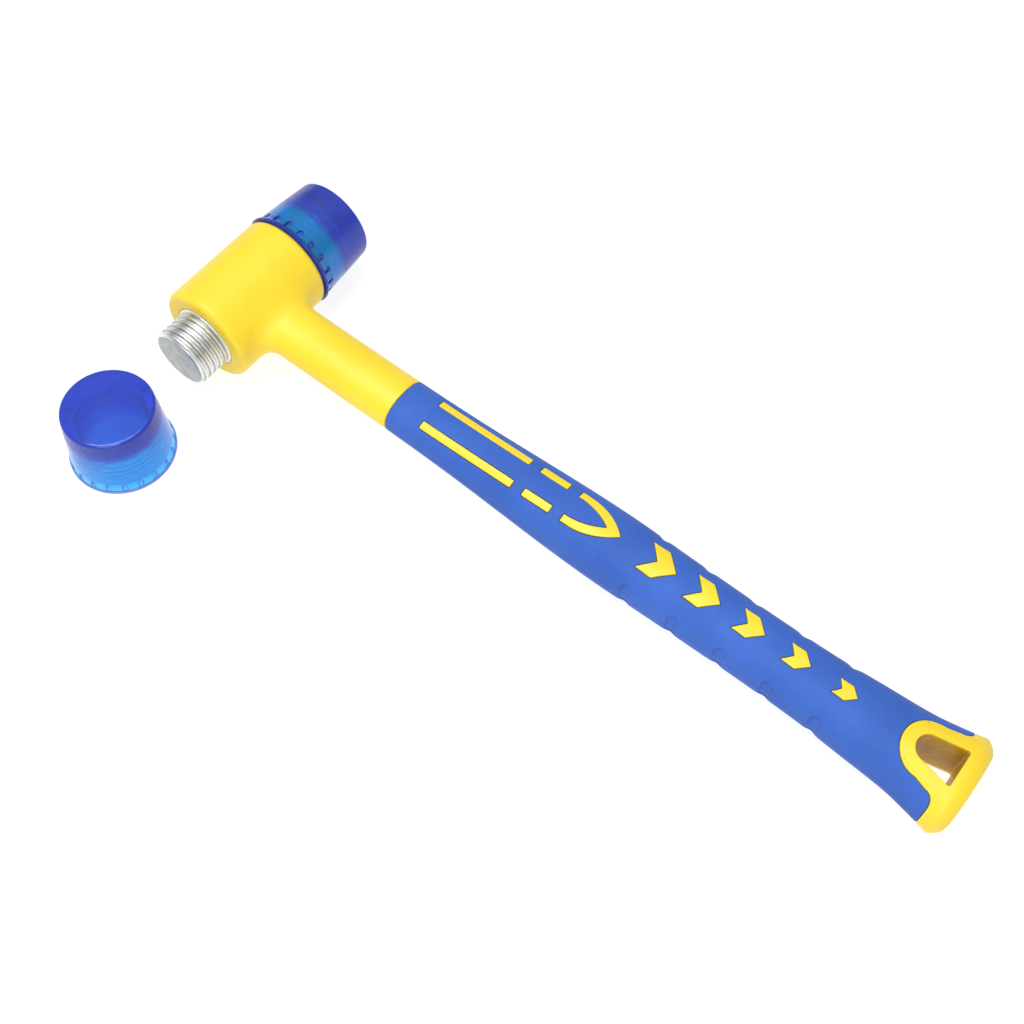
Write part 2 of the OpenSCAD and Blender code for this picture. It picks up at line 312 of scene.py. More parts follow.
def arch_outline():
    outer = arch_side(178.6, 8.4, 4, 24.4)
    inner = arch_side(178.6, 5.0, 1, 17.4)
    lower = [(x, -y) for x, y in outer][-2::-1]
    inner_lower = [(x, -y) for x, y in inner]
    return (outer + lower + inner_lower + inner[-2::-1])[::-1]


def chevron_outline(n):
    half, length, notch, tip = 7.3 - 0.88 * n, 15.5 - 1.4 * n, 9.3 - 0.55 * n, 229.7 + 20.7 * n
    return [(tip - length, -0.95 * half), (tip - 1.03 * half, -half), (tip, 0), (tip - 1.03 * half, half),
            (tip - length, 0.95 * half), (tip - notch, 0)]


def hang_outline():
    """The D-shaped hole: round towards the grip, flaring to a straight end."""
    x, r, end, half, corner = 343.8, 5.8, 356.3, 8.4, 0.9
    flare = math.degrees(math.atan((half - corner - r) / (end - corner - x)))
    return (arc(x, 0, r, 90 + flare, 270 - flare, 18)
            + arc(end - corner, corner - half, corner, 270 - flare, 360, 6)
            + arc(end - corner, half - corner, corner, 0, 90 + flare, 6))


HANG_MIDDLE_X = 348.0


def tongue_line():
    """Edge between sleeve and butt on the upper side, from the +Y flank round the tongue to -Y."""
    x, r, fillet, block = 344.5, 12.2, 4.5, 354.2
    side = arc(block - fillet, r + 1.6 + fillet, fillet, 0, -90, 8)
    tip = arc(x, 0, r, 90, 180, 18)
    half_line = [(block - 0.6, 30), (block, 22)] + side + tip
    return half_line + [(px, -py) for px, py in half_line[-2::-1]]


# The bars and dashes have softer corners than the pointed inlays
BAR_CORNER = 0.8
POINT_CORNER = 0.4
INLAYS = ([(bar_outline(105.6, side * 6.6, 47.9, 3.6), BAR_CORNER) for side in (-1, 1)]
          + [(bar_outline(159, side * 6.6, 14, 3.6), BAR_CORNER) for side in (-1, 1)]
          + [(arch_outline(), POINT_CORNER)] + [(chevron_outline(n), POINT_CORNER) for n in range(5)])

# A fine line scribed across the grip between the two bars
SCRIBED_LINE = [(106.7 - 0.03 * y * y, y) for y in np.linspace(-4.7, 4.7, 12)]
SCRIBED_DEPTH = 0.14

# ---- The handle's outer skin, cut along the outlines ----
# A point of the skin is (s, v): s runs along the handle and round the butt's end, v round the
# section, in millimetres on a section of this radius. The upper half is made and then mirrored.

UNROLL_R = 14.0
HALF_ROUND = math.pi * UNROLL_R
SEAM = 0.13
EDGE = 0.35
EDGE_STEPS = (0, 0.05, 0.14, 0.35, 0.75)
FINGERS = 5
FINGER_X = 216.0
FINGER_PITCH = 22.1
FINGER_HALF = 2.3
FINGER_REACH = 4.6
DIP_DEPTH = 0.6
POCKET_DEPTH = 0.8
POCKET_CREASE = 0.42


def section_at(s):
    """Distance from the head, half width and half thickness at s."""
    turn = np.clip((s - BUTT_X) / BUTT_ARC, 0, 1) * np.pi / 2
    along = power_of(np.sin(turn), 2 / BUTT_ROUND_POWER)
    inwards = 1 - power_of(np.cos(turn), 2 / BUTT_ROUND_POWER)
    x = np.minimum(s, BUTT_X) + BUTT_ROUND_L * along
    w = curve_at(np.minimum(s, BUTT_X), 1) - BUTT_ROUND_W * inwards
    t = curve_at(np.minimum(s, BUTT_X), 2) - BUTT_ROUND_T * inwards
    return x, w, t


def skin_points(s, v, depth):
    """Places in millimetres, sunk by depth, and the directions that point out of the section."""
    x, w, t = section_at(s)
    angle = v / UNROLL_R
    c, d = np.cos(angle), np.sin(angle)
    reach = ((np.abs(c) / w) ** GRIP_POWER + (np.abs(d) / t) ** GRIP_POWER) ** (-1 / GRIP_POWER)
    y, z = reach * c, reach * d
    ny = power_of(y / w, GRIP_POWER - 1) / w
    nz = power_of(z / t, GRIP_POWER - 1) / t
    size = np.hypot(ny, nz)
    ny, nz = ny / size, nz / size
    # a fine ridge where the mould's halves met
    rise = 0.22 * np.exp(-(z / 0.28) ** 2) * (s < BUTT_X)
    rise -= depth + finger_depth(x, np.minimum(v, HALF_ROUND - v))
    return np.stack([x, y + ny * rise, z + nz * rise], 1), np.stack([np.zeros_like(y), ny, nz], 1)


def finger_depth(x, up_side):
    """Depth of the finger notches: a soft dip across the side with an arched pocket at its middle."""
    depth = np.zeros_like(x)
    for n in range(FINGERS):
        along = np.abs(x - FINGER_X - n * FINGER_PITCH)
        fade = smooth_step((13 - up_side) / 7)
        depth += DIP_DEPTH * np.exp(-(along / 2.0) ** 2) * fade
        arch = np.where(up_side < FINGER_REACH, along, np.hypot(along, up_side - FINGER_REACH))
        depth += POCKET_DEPTH * smooth_step((FINGER_HALF - arch) / 0.35)
        depth += POCKET_CREASE * np.exp(-((arch - FINGER_HALF) / 0.25) ** 2)
    return depth


def unrolled(outline):
    """Plan points (x, y) as (s, v) on the upper skin."""
    result = []
    for x, y in outline:
        w, t = float(curve_at(x, 1)), float(curve_at(x, 2))
        side = min(abs(y) / w, 1)
        z = t * (1 - side ** GRIP_POWER) ** (1 / GRIP_POWER)
        result.append((x, math.atan2(z, math.copysign(side * w, y)) * UNROLL_R))
    return np.array(result)


def rounded_corners(points, radius, closed=True):
    """Sharp corners replaced by short curves."""
    n, result = len(points), []
    for i, p in enumerate(points):
        if not closed and i in (0, n - 1):
            result.append(p)
            continue
        before, after = points[i - 1] - p, points[(i + 1) % n] - p
        la, lb = np.linalg.norm(before), np.linalg.norm(after)
        turn = math.pi - math.acos(np.clip(before @ after / (la * lb), -1, 1))
        if turn < math.radians(20):
            result.append(p)
            continue
        reach = min(radius, 0.45 * la, 0.45 * lb)
        a, b = p + before / la * reach, p + after / lb * reach
        result.extend((1 - u) ** 2 * a + 2 * u * (1 - u) * p + u * u * b for u in np.linspace(0, 1, 6))
    return np.array(result)


def anticlockwise(outline):
    x, y = outline.T
    area = (x * np.roll(y, -1) - np.roll(x, -1) * y).sum()
    return outline if area > 0 else outline[::-1]


def evenly(points, step, closed=True):
    """The same line with points about step apart."""
    line = np.vstack([points, points[:1]]) if closed else points
    result = []
    for a, b in zip(line[:-1], line[1:]):
        pieces = max(1, int(round(np.linalg.norm(b - a) / step)))
        result.extend(a + (b - a) * k / pieces for k in range(pieces))
    if not closed:
        result.append(line[-1])
    return np.array(result)


def beside(points, distance, closed=True):
    """The line moved to its right by distance: outwards for an anticlockwise outline."""
    if closed:
        tangent = np.roll(points, -1, 0) - np.roll(points, 1, 0)
    else:
        tangent = np.gradient(points, axis=0)
    tangent /= np.linalg.norm(tangent, axis=1)[:, None]
    return points + distance * np.stack([tangent[:, 1], -tangent[:, 0]], 1)


def contains(outline, points):
    """Which points lie inside a closed outline."""
    x, y = points[:, 0], points[:, 1]
    hits = np.zeros(len(points), int)
    for (ax, ay), (bx, by) in zip(outline, np.roll(outline, -1, 0)):
        if ay != by:
            spans = (ay <= y) != (by <= y)
            hits += spans & (x < ax + (y - ay) / (by - ay) * (bx - ax))
    return hits % 2 == 1


def nearest(outline, points, closed=True):
    """Distance from each point to the line."""
    ends = np.roll(outline, -1, 0) if closed else outline[1:]
    starts = outline if closed else outline[:-1]
    best = np.full(len(points), 1e9)
    for a, b in zip(starts, ends):
        d = b - a
        u = np.clip(((points - a) @ d) / (d @ d + 1e-12), 0, 1)
        best = np.minimum(best, np.hypot(*(points - a - u[:, None] * d).T))
    return best


def edge_depth(distance):
    """How far an edge of radius EDGE has rolled down at this distance from it."""
    u = np.clip(1 - distance / EDGE, 0, 1)
    return EDGE * (1 - np.sqrt(1 - u * u))


class Cut:
    """The points, constraints and depths that the skin is triangulated from."""

    def __init__(self):
        self.points, self.edges, self.depths = [], [], []

    def add_line(self, line, depth, closed=True):
        base = len(self.points)
        self.points.extend(map(tuple, line))
        self.depths.extend([depth] * len(line))
        self.edges.extend((base + i, base + i + 1) for i in range(len(line) - 1))
        if closed:
            self.edges.append((base + len(line) - 1, base))


def upper_skin():
    """Triangulates the upper skin. Returns places (s, v), depths, and the faces of each region."""
    cut = Cut()
    inlays = []
    for outline, corner in INLAYS:
        flat = anticlockwise(unrolled(evenly(np.array(outline, float), 2)))
        inlays.append(evenly(rounded_corners(flat, corner), 0.5))
    hang = evenly(anticlockwise(unrolled(hang_outline())), 0.6)
    tongue = evenly(unrolled(tongue_line()), 0.55, closed=False)
    tongue = tongue[(tongue[:, 1] > 0.9) & (tongue[:, 1] < HALF_ROUND - 0.9)]
    scribed = evenly(unrolled(SCRIBED_LINE), 0.5, closed=False)
    cut.add_line(scribed, SCRIBED_DEPTH, closed=False)
    for side in (-1, 1):
        cut.add_line(beside(scribed, side * 0.16, closed=False), 0.0, closed=False)
    for step in EDGE_STEPS:
        depth = float(edge_depth(step))
        for inlay in inlays:
            cut.add_line(beside(inlay, SEAM + step), depth)
            cut.add_line(beside(inlay, -SEAM - step), depth)
        cut.add_line(beside(hang, step), depth)
        for side in (-1, 1):
            line = across(beside(tongue, side * (SEAM + step), closed=False), 0)
            cut.add_line(line, depth, closed=False)
    rows = np.array([0, 0.12, 0.28, 0.5, 0.8])
    v_lines = np.concatenate([rows, np.linspace(1.3, HALF_ROUND - 1.3, 56), HALF_ROUND - rows[::-1]])
    s_lines = np.concatenate([GRIP_X + np.array(EDGE_STEPS), np.arange(GRIP_X + 1.4, BUTT_X - 0.3, 0.75),
                              BUTT_X + BUTT_ARC * np.linspace(0, 1, 11)])
    grid = np.stack(np.meshgrid(s_lines, v_lines, indexing="ij"), -1).reshape(-1, 2)
    for n in range(FINGERS):
        centre = FINGER_X + n * FINGER_PITCH
        s, v = np.meshgrid(np.arange(centre - 4, centre + 4, 0.2), np.arange(1.1, 12, 0.25))
        zone = np.stack([s.ravel(), v.ravel()], 1) + 0.013
        grid = np.vstack([grid, zone, zone * (1, -1) + (0, HALF_ROUND)])
    gap = np.minimum(nearest(hang, grid), nearest(across(tongue, 0), grid, closed=False))
    for inlay in inlays:
        gap = np.minimum(gap, nearest(inlay, grid))
    gap = np.minimum(gap, nearest(scribed, grid, closed=False) + 0.7)
    on_hole = contains(hang, grid)
    grid = grid[(gap > SEAM + EDGE_STEPS[-1] + 0.3) & ~on_hole]
    front = grid[:, 0] - GRIP_X
    cut.points.extend(map(tuple, grid))
    cut.depths.extend(np.where(front < EDGE, edge_depth(front), 0).tolist())
    made = geometry.delaunay_2d_cdt([Vector(p) for p in cut.points], cut.edges, [], 0, 1e-5)
    places = np.array([tuple(p) for p in made[0]])
    depths = np.array([max([cut.depths[i] for i in source] or [0.0]) for source in made[3]])
    faces = np.array([face for face in made[2] if len(face) == 3])
    middles = places[faces].mean(1)
    butt = contains(beyond(beside(tongue, SEAM, closed=False)), middles)
    butt &= ~contains(hang, middles)
    sleeve = ~contains(beyond(beside(tongue, -SEAM, closed=False)), middles)
    raised = np.zeros(len(faces), bool)
    for inlay in inlays:
        raised |= contains(beside(inlay, -SEAM), middles)
        sleeve &= ~contains(beside(inlay, SEAM), middles)
    return places, depths, {"sleeve": faces[sleeve], "inlays": faces[raised], "butt": faces[butt]}


def across(line, margin):
    """The tongue's line carried on to the edges of the upper skin, or past them by margin."""
    return np.vstack([[(line[0][0], -margin)], line, [(line[-1][0], HALF_ROUND + margin)]])


def beyond(line):
    """Closed outline of what lies on the butt's side of the tongue's line."""
    return np.vstack([across(line, 5), [(400, HALF_ROUND + 5), (400, -5)]])


def both_sides(places, depths, faces):
    """The region on the upper skin and its mirror image below, welded along the flanks.
    Returns points, outward directions, faces, and the index of each point's mirror image."""
    used, compact = np.unique(faces, return_inverse=True)
    faces = compact.reshape(faces.shape)
    points, out = skin_points(places[used, 0], places[used, 1], depths[used])
    points[np.abs(points[:, 2]) < 1e-6, 2] = 0
    a, b, c = (points[faces[:, i]] for i in range(3))
    normal = np.cross(b - a, c - a)
    backwards = (normal * out[faces].mean(1)).sum(1) < 0
    faces[backwards] = faces[backwards][:, ::-1]
    n = len(points)
    on_flank = points[:, 2] == 0
    mirror = np.where(on_flank, np.arange(n), np.arange(n) + n)
    points = np.vstack([points, points * (1, 1, -1)])
    out = np.vstack([out, out * (1, 1, -1)])
    faces = np.vstack([faces, mirror[faces][:, ::-1]])
    return points, out, faces, mirror


def border(faces):
    """The directed edges that belong to one face only."""
    edges = np.vstack([faces[:, [0, 1]], faces[:, [1, 2]], faces[:, [2, 0]]])
    there = set(map(tuple, edges))
    return [(a, b) for a, b in there if (b, a) not in there]


def thickened(points, out, faces, thickness):
    """A closed shell: the surface, a copy sunk by thickness, and walls between their borders."""
    n = len(points)
    inner = points - out * thickness
    walls = [(b, a, a + n, b + n) for a, b in sorted(border(faces))]
    return np.vstack([points, inner]), list(map(tuple, faces)) + list(map(tuple, faces[:, ::-1] + n)) + walls


def walled(points, faces, mirror, rows=14):
    """A closed block: from each border point of the upper side a column of points runs down to its
    mirror image, and the walls stand between the columns. The hang hole's wall is a little wavy."""
    points = [tuple(p) for p in points]
    columns = {}

    def column(i):
        if i not in columns:
            x, y, top = points[i]
            start = len(points)
            for z in np.linspace(top, -top, rows + 1)[1:-1]:
                wave = hole_wave(x, y, z, top) if in_hang_hole(x, y) else 0.0
                points.append((x + wave * (x - HANG_MIDDLE_X) / 10, y + wave * y / 10, z))
            columns[i] = [i, *range(start, start + rows - 1), int(mirror[i])]
        return columns[i]

    walls = []
    for a, b in sorted(border(faces)):
        if a >= len(mirror) or b >= len(mirror) or max(points[a][2], points[b][2]) <= 0:
            continue
        if min(points[a][2], points[b][2]) > 0:
            left, right = column(a), column(b)
            walls += [(right[k], left[k], left[k + 1], right[k + 1]) for k in range(rows)]
        else:
            wall = [b, a]
            wall += [mirror[a]] if mirror[a] != a else []
            wall += [mirror[b]] if mirror[b] != b else []
            walls.append(tuple(int(i) for i in wall))
    return points, list(map(tuple, faces)) + walls


def in_hang_hole(x, y):
    """Whether a plan point is in the hang hole or on its wall, and not on the butt's outer skin."""
    return (x > 337.5) & (x < 357.4) & (np.abs(y) < 9.2)


def hole_wave(x, y, z, top):
    """Flow marks in the hang hole's wall, as a share of 10 mm. They fade out at both mouths."""
    around = math.atan2(y, x - HANG_MIDDLE_X)
    wave = math.sin(5 * around + 0.9 * math.sin(0.7 * z)) * math.sin(1.1 * z + 2 * math.sin(3 * around))
    return 0.35 * wave * (1 - (z / top) ** 4)


# ---- Round pieces ----


def lathe(rings):
    """Quads through rings of equal length, with a flat cap wherever the first or last is open."""
    columns = len(rings[0])
    faces = grid_faces(len(rings), columns)
    faces.append(tuple(range(columns))[::-1])
    faces.append(tuple((len(rings) - 1) * columns + i for i in range(columns)))
    return np.concatenate(rings), faces


def ring_of(radius, z, angles):
    radius = np.broadcast_to(radius, angles.shape)
    return np.stack([radius * np.cos(angles), radius * np.sin(angles), np.full_like(angles, z)], 1)


def thread_wave(z, angles):
    """0 at a right-hand thread's crests and 1 at its roots, with flats on both."""
    phase = (z / THREAD_PITCH - angles / (2 * np.pi)) % 1
    return np.clip(np.abs(2 * phase - 1) * 1.7 - 0.35, 0, 1)


def stud_mesh():
    """Collar, plain shoulder and threaded stud with a chamfered end, standing on its collar."""
    angles = np.linspace(0, 2 * np.pi, 144, endpoint=False)
    collar = ((COLLAR_R - 0.4, 0), (COLLAR_R, 0.4), (COLLAR_R, COLLAR_T - 0.4), (COLLAR_R - 0.4, COLLAR_T))
    shoulder = ((SHOULDER_R, COLLAR_T), (SHOULDER_R, COLLAR_T + 2.3), (SHOULDER_R - 0.3, COLLAR_T + 2.55))
    rings = [ring_of(r, z, angles) for r, z in collar + shoulder]
    length = STUD_OUT - 0.1
    chamfer = 1.3
    for up in np.arange(0, length - 0.12, 0.14):
        fade = smooth_step(up / 1.2)
        radius = STUD_R - THREAD_DEPTH * thread_wave(up, angles) * fade
        radius = np.minimum(radius, STUD_R - chamfer + 0.1 + (length - up))
        rings.append(ring_of(radius, THREAD_START + up, angles))
    end = THREAD_START + length
    for r, z in ((STUD_R - chamfer + 0.1, end - 0.1), (STUD_R - chamfer - 0.15, end), (STUD_R * 0.8, end),
                 (STUD_R * 0.5, end), (0.4, end)):
        rings.append(ring_of(r, z, angles))
    return lathe(rings)


def bubble(centre, radius, facets=8):
    """A small hollow inside a face: a ball with its surface turned inwards."""
    around = np.linspace(0, 2 * np.pi, facets, endpoint=False)
    rings = [ring_of(radius * math.cos(a), radius * math.sin(a), around) + centre
             for a in np.linspace(-1.45, 1.45, 6)]
    points, faces = lathe(rings)
    return points, [face[::-1] for face in faces]


def scoop_edge(z, angles):
    """Distance outwards from the edge of the nearest scoop in the skirt: below 0 inside it."""
    pitch = 2 * np.pi / SCOOPS
    sideways = np.abs((angles / pitch + 0.5) % 1 - 0.5) * pitch * SKIRT_R
    return np.where(z < SCOOP_TOP, sideways, np.hypot(sideways, z - SCOOP_TOP)) - SCOOP_HALF


def face_mesh():
    """A striking face on its flange: threaded hole below, scoops round the skirt, solid end above."""
    angles = np.linspace(0, 2 * np.pi, SCOOPS * COLUMNS_PER_SCOOP, endpoint=False)
    rings = [ring_of(r, FACE_BORE_L, angles) for r in (0.4, 5, 10, 14, FACE_RELIEF_R - 0.3)]
    thread_top = FACE_BORE_L - FACE_RELIEF_L
    rings += [ring_of(FACE_RELIEF_R, z, angles) for z in (FACE_BORE_L - 0.3, thread_top + 0.8)]
    fade_from, fade_over = 4, 3
    for z in np.arange(thread_top, 1.2, -0.22):
        fade = smooth_step((z - fade_from) / fade_over) * smooth_step((thread_top - z) / 0.8)
        wave = 1 - thread_wave(z, angles)
        rings.append(ring_of(FACE_BORE_R + HOLE_THREAD_DEPTH * wave * fade, z, angles))
    mouth = ((FACE_BORE_R, 1.0), (FACE_BORE_R + 0.8, 0), (18, 0), (22, 0))
    flange = ((FLANGE_R - 0.35, 0), (FLANGE_R, 0.35), (FLANGE_R, 0.75), (FLANGE_R - 0.15, 1.0),
              (FLANGE_R - 0.5, 1.2), (FLANGE_R - 0.9, 1.35))
    rings += [ring_of(r, z, angles) for r, z in mouth + flange]
    top = FACE_H - FACE_ROUND
    for z in np.concatenate([np.arange(SKIRT_FOOT, SCOOP_ZONE, 0.2), np.arange(7.5, top, 0.9)]):
        radius = SKIRT_R + (FACE_R - SKIRT_R) * (z - SKIRT_FOOT) / (top - SKIRT_FOOT)
        radius += 0.25 * max(0, 1 - (z - SKIRT_FOOT) / 0.6)
        inside = smooth_step(-scoop_edge(z, angles) / 0.3)
        radius = radius - SCOOP_DEPTH * inside * smooth_step((z - 1.6) / 0.3)
        rings.append(ring_of(radius, z, angles))
    for turn in np.radians(np.linspace(0, 90, 8)):
        inwards, up = FACE_ROUND * (1 - math.cos(turn)), FACE_ROUND * math.sin(turn)
        rings.append(ring_of(FACE_R - inwards, top + up, angles))
    rings += [ring_of(r, FACE_H, angles) for r in (16, 10, 5, 0.4)]
    parts = [lathe(rings)]
    # small bubbles scattered through the solid end, by steps that never line up
    bubbles, golden_angle = 14, 2.39996
    for n in range(bubbles):
        turn = n * golden_angle
        out = 3 + 14 * ((n * 0.618) % 1)
        height = 22.5 + 7 * ((n * 0.37) % 1)
        centre = np.array([out * math.cos(turn), out * math.sin(turn), height])
        parts.append(bubble(centre, 0.12 + 0.16 * ((n * 0.73) % 1)))
    return joined(*parts)


# ---- Materials ----


class Paint:
    """A material being built: its nodes, its main shader, and short ways to add to it."""

    def __init__(self, name):
        self.material = bpy.data.materials.new(name)
        self.material.use_nodes = True
        self.nodes = self.material.node_tree.nodes
        self.links = self.material.node_tree.links
        self.shader = self.nodes["Principled BSDF"]
        self.output = self.nodes["Material Output"]
        self.place = self.nodes.new("ShaderNodeTexCoord").outputs["Object"]

    def set(self, **values):
        for name, value in values.items():
            self.shader.inputs[name.replace("_", " ")].default_value = value

    def noise(self, scale, detail=4.0, stretch=(1, 1, 1)):
        mapping = self.nodes.new("ShaderNodeMapping")
        mapping.inputs["Scale"].default_value = stretch
        self.links.new(self.place, mapping.inputs["Vector"])
        noise = self.nodes.new("ShaderNodeTexNoise")
        noise.inputs["Scale"].default_value = scale
        noise.inputs["Detail"].default_value = detail
        self.links.new(mapping.outputs["Vector"], noise.inputs["Vector"])
        return noise.outputs["Fac"]

    def mark(self, name):
        """A number from 0 to 1 that the mesh keeps for each point, such as tint."""
        attribute = self.nodes.new("ShaderNodeAttribute")
        attribute.attribute_name = name
        return attribute.outputs["Fac"]

    def blend(self, factor, a, b, mode="MIX"):
        mix = self.nodes.new("ShaderNodeMix")
        mix.data_type = "RGBA"
        mix.blend_type = mode
        if isinstance(factor, float):
            mix.inputs["Factor"].default_value = factor
        else:
            self.links.new(factor, mix.inputs["Factor"])
        self.links.new(a, mix.inputs["A"])
        self.links.new(b, mix.inputs["B"])
        return mix.outputs["Result"]

    def ramp(self, value, stops):
        ramp = self.nodes.new("ShaderNodeValToRGB")
        elements = ramp.color_ramp.elements
        elements[0].position, elements[0].color = stops[0][0], (*stops[0][1], 1)
        elements[1].position, elements[1].color = stops[-1][0], (*stops[-1][1], 1)
        for position, colour in stops[1:-1]:
            elements.new(position).color = (*colour, 1)
        self.links.new(value, ramp.inputs["Fac"])
        return ramp.outputs["Color"]

    def between(self, value, low, high):
        remap = self.nodes.new("ShaderNodeMapRange")
        remap.inputs["To Min"].default_value = low
        remap.inputs["To Max"].default_value = high
        self.links.new(value, remap.inputs["Value"])
        return remap.outputs["Result"]

    def bump(self, *layers):
        """Each layer is (height, strength, distance in metres); they add up."""
        below = None
        for height, strength, distance in layers:
            bump = self.nodes.new("ShaderNodeBump")
            bump.inputs["Strength"].default_value = strength
            bump.inputs["Distance"].default_value = distance
            self.links.new(height, bump.inputs["Height"])
            if below is not None:
                self.links.new(below, bump.inputs["Normal"])
            below = bump.outputs["Normal"]
        self.links.new(below, self.shader.inputs["Normal"])

    def feed(self, value, socket):
        self.links.new(value, self.shader.inputs[socket])


def yellow_plastic():
    paint = Paint("yellow_plastic")
    paint.set(IOR=1.49, Subsurface_Weight=0.08, Subsurface_Scale=0.5)
    paint.set(Subsurface_Radius=(0.004, 0.002, 0.0006))
    tone = paint.noise(28)
    open_skin = paint.ramp(tone, [(0.3, (0.90, 0.65, 0.024)), (0.7, (0.95, 0.71, 0.036))])
    # painted shade: a darker ochre for the hang hole's wall, where the recess lies in shade
    hole_wall_shade = paint.ramp(tone, [(0.3, (0.56, 0.33, 0.0)), (0.7, (0.64, 0.39, 0.0))])
    paint.feed(paint.blend(paint.mark("tint"), open_skin, hole_wall_shade), "Base Color")
    paint.feed(paint.between(paint.noise(160), 0.34, 0.5), "Roughness")
    paint.bump((paint.noise(2600, 2), 0.12, 0.0002), (paint.noise(120, 3), 0.1, 0.0006))
    return paint.material


def blue_rubber():
    paint = Paint("blue_rubber")
    paint.set(IOR=1.4, Specular_IOR_Level=0.35)
    tone = paint.ramp(paint.noise(36, 6), [(0.3, (0.034, 0.110, 0.46)), (0.7, (0.046, 0.140, 0.55))])
    specks = paint.ramp(paint.noise(1500, 3), [(0.0, (0, 0, 0)), (0.76, (0, 0, 0)), (0.8, (0.25, 0.3, 0.38))])
    paint.feed(paint.blend(1.0, tone, specks, "ADD"), "Base Color")
    paint.feed(paint.between(paint.noise(220), 0.5, 0.68), "Roughness")
    paint.bump((paint.noise(3200, 2), 0.25, 0.0002), (paint.noise(90, 3), 0.15, 0.0008))
    return paint.material


def blue_urethane():
    """Cast translucent urethane. Azure is painted light, where the bright stud or the hollow shows through the
    skirt; deep violet-blue is painted shade, where nothing bright lies behind the wall, towards the solid end.
    """
    paint = Paint("blue_urethane")
    paint.set(IOR=1.49, Transmission_Weight=0.76, Specular_IOR_Level=0.3)
    cloud = paint.noise(45, 3)
    # azure: painted light from what shines through the wall; deep colour: painted shade
    skirt = paint.ramp(cloud, [(0.3, (0.02, 0.52, 0.99)), (0.7, (0.035, 0.60, 1.0))])
    solid = paint.ramp(cloud, [(0.3, (0.07, 0.135, 0.62)), (0.7, (0.10, 0.185, 0.74))])
    paint.feed(paint.blend(paint.mark("tint"), skirt, solid), "Base Color")
    haze = paint.noise(90)
    clear, hazy = paint.between(haze, 0.10, 0.18), paint.between(haze, 0.22, 0.34)
    paint.feed(paint.blend(paint.mark("haze"), clear, hazy), "Roughness")
    paint.bump((paint.noise(700, 2), 0.08, 0.0003))
    volume = paint.nodes.new("ShaderNodeVolumeAbsorption")
    volume.inputs["Color"].default_value = (0.0, 0.58, 0.95, 1)
    volume.inputs["Density"].default_value = 180
    paint.links.new(volume.outputs["Volume"], paint.output.inputs["Volume"])
    return paint.material


def zinc_plate():
    """Bright zinc, with painted shade on the thread's flanks and on the stud's end face."""
    paint = Paint("zinc_plate")
    paint.set(Metallic=1.0)
    grain = paint.noise(300, 5)
    bright = paint.ramp(grain, [(0.3, (0.80, 0.82, 0.79)), (0.7, (0.93, 0.94, 0.90))])
    # the painted shade colour, for the thread's flanks and the end face
    shaded_zinc = paint.ramp(grain, [(0.3, (0.36, 0.375, 0.36)), (0.7, (0.52, 0.535, 0.51))])
    paint.feed(paint.blend(paint.mark("tint"), bright, shaded_zinc), "Base Color")
    paint.feed(paint.between(paint.noise(900, 4), 0.28, 0.45), "Roughness")
    paint.bump((paint.noise(1400, 4), 0.25, 0.0002))
    return paint.material


def turned_steel(name, low, high, rough):
    paint = Paint(name)
    paint.set(Metallic=1.0)
    paint.feed(paint.ramp(paint.noise(240, 5), [(0.3, low), (0.7, high)]), "Base Color")
    paint.feed(paint.between(paint.noise(700), rough, rough + 0.2), "Roughness")
    paint.bump((paint.noise(1800, 3, (1, 14, 1)), 0.2, 0.0001))
    return paint.material


def resin_rod():
    paint = Paint("resin_rod")
    paint.set(IOR=1.55)
    fibres = paint.noise(2200, 4, (0.02, 1, 1))
    paint.feed(paint.ramp(fibres, [(0.3, (0.62, 0.58, 0.42)), (0.7, (0.82, 0.79, 0.63))]), "Base Color")
    paint.feed(paint.between(fibres, 0.4, 0.6), "Roughness")
    paint.bump((fibres, 0.3, 0.0002))
    return paint.material


# ---- The object ----


def build_handle():
    places, depths, regions = upper_skin()
    points, out, faces, _ = both_sides(places, depths, regions["sleeve"])
    sleeve = thickened(points, out, faces, SLEEVE_T)
    new_piece("rubber_grip", *sleeve, MALLET, "mallet", "grip_blue", ["grip_sleeve"], blue_rubber())
    points, out, faces, _ = both_sides(places, depths, regions["inlays"])
    inlays = thickened(points, out, faces, CORE_INSET)
    points, _, faces, mirror = both_sides(places, depths, regions["butt"])
    butt = walled(points, faces, mirror)
    reach_r, reach_y, cell = 24, 28.4, 0.8
    head = surface_of(body_field, (-reach_r, -reach_y, -reach_r), (GRIP_X + 1, reach_y, reach_r), cell)
    whole = joined(head, swept_core(), inlays, butt)
    x, y, z = np.array(whole[0]).T
    wall_half = 12.4
    # points on the hang hole's wall, which take the painted shade
    hole_shade_mask = in_hang_hole(x, y) & (np.abs(z) < wall_half)
    new_piece("yellow_moulding", *whole, MALLET, "mallet", "body_yellow", ["moulded_body"], yellow_plastic(),
              tint=hole_shade_mask.astype(float))


def build_studs():
    points, faces = stud_mesh()
    chamfer_start = COLLAR_T + 1.4 + STUD_OUT
    on_thread = (points[:, 2] > THREAD_START) & (points[:, 2] < chamfer_start)
    # first how far each point lies down the thread, then the painted shade drawn from it
    sunk = np.clip((STUD_R - np.hypot(points[:, 0], points[:, 1])) / THREAD_DEPTH, 0, 1)
    # painted shade on the flanks; crests and roots keep the bright zinc colour
    sunk = 4 * sunk * (1 - sunk) * on_thread
    # the end face is painted dark all over: painted shade that tones down its reflection of the bright floor
    sunk[points[:, 2] > THREAD_START + STUD_OUT - 0.11] = 1.0
    lift = Matrix.Translation((0, 0, BARREL_HALF - COLLAR_T))
    material = zinc_plate()
    for name, node, turned in (("bare_stud", "left_stud", TO_LEFT), ("hidden_stud", "right_stud", TO_RIGHT)):
        new_piece(name, points, faces, turned @ lift, "mallet", "zinc_steel", [node], material, tint=sunk)


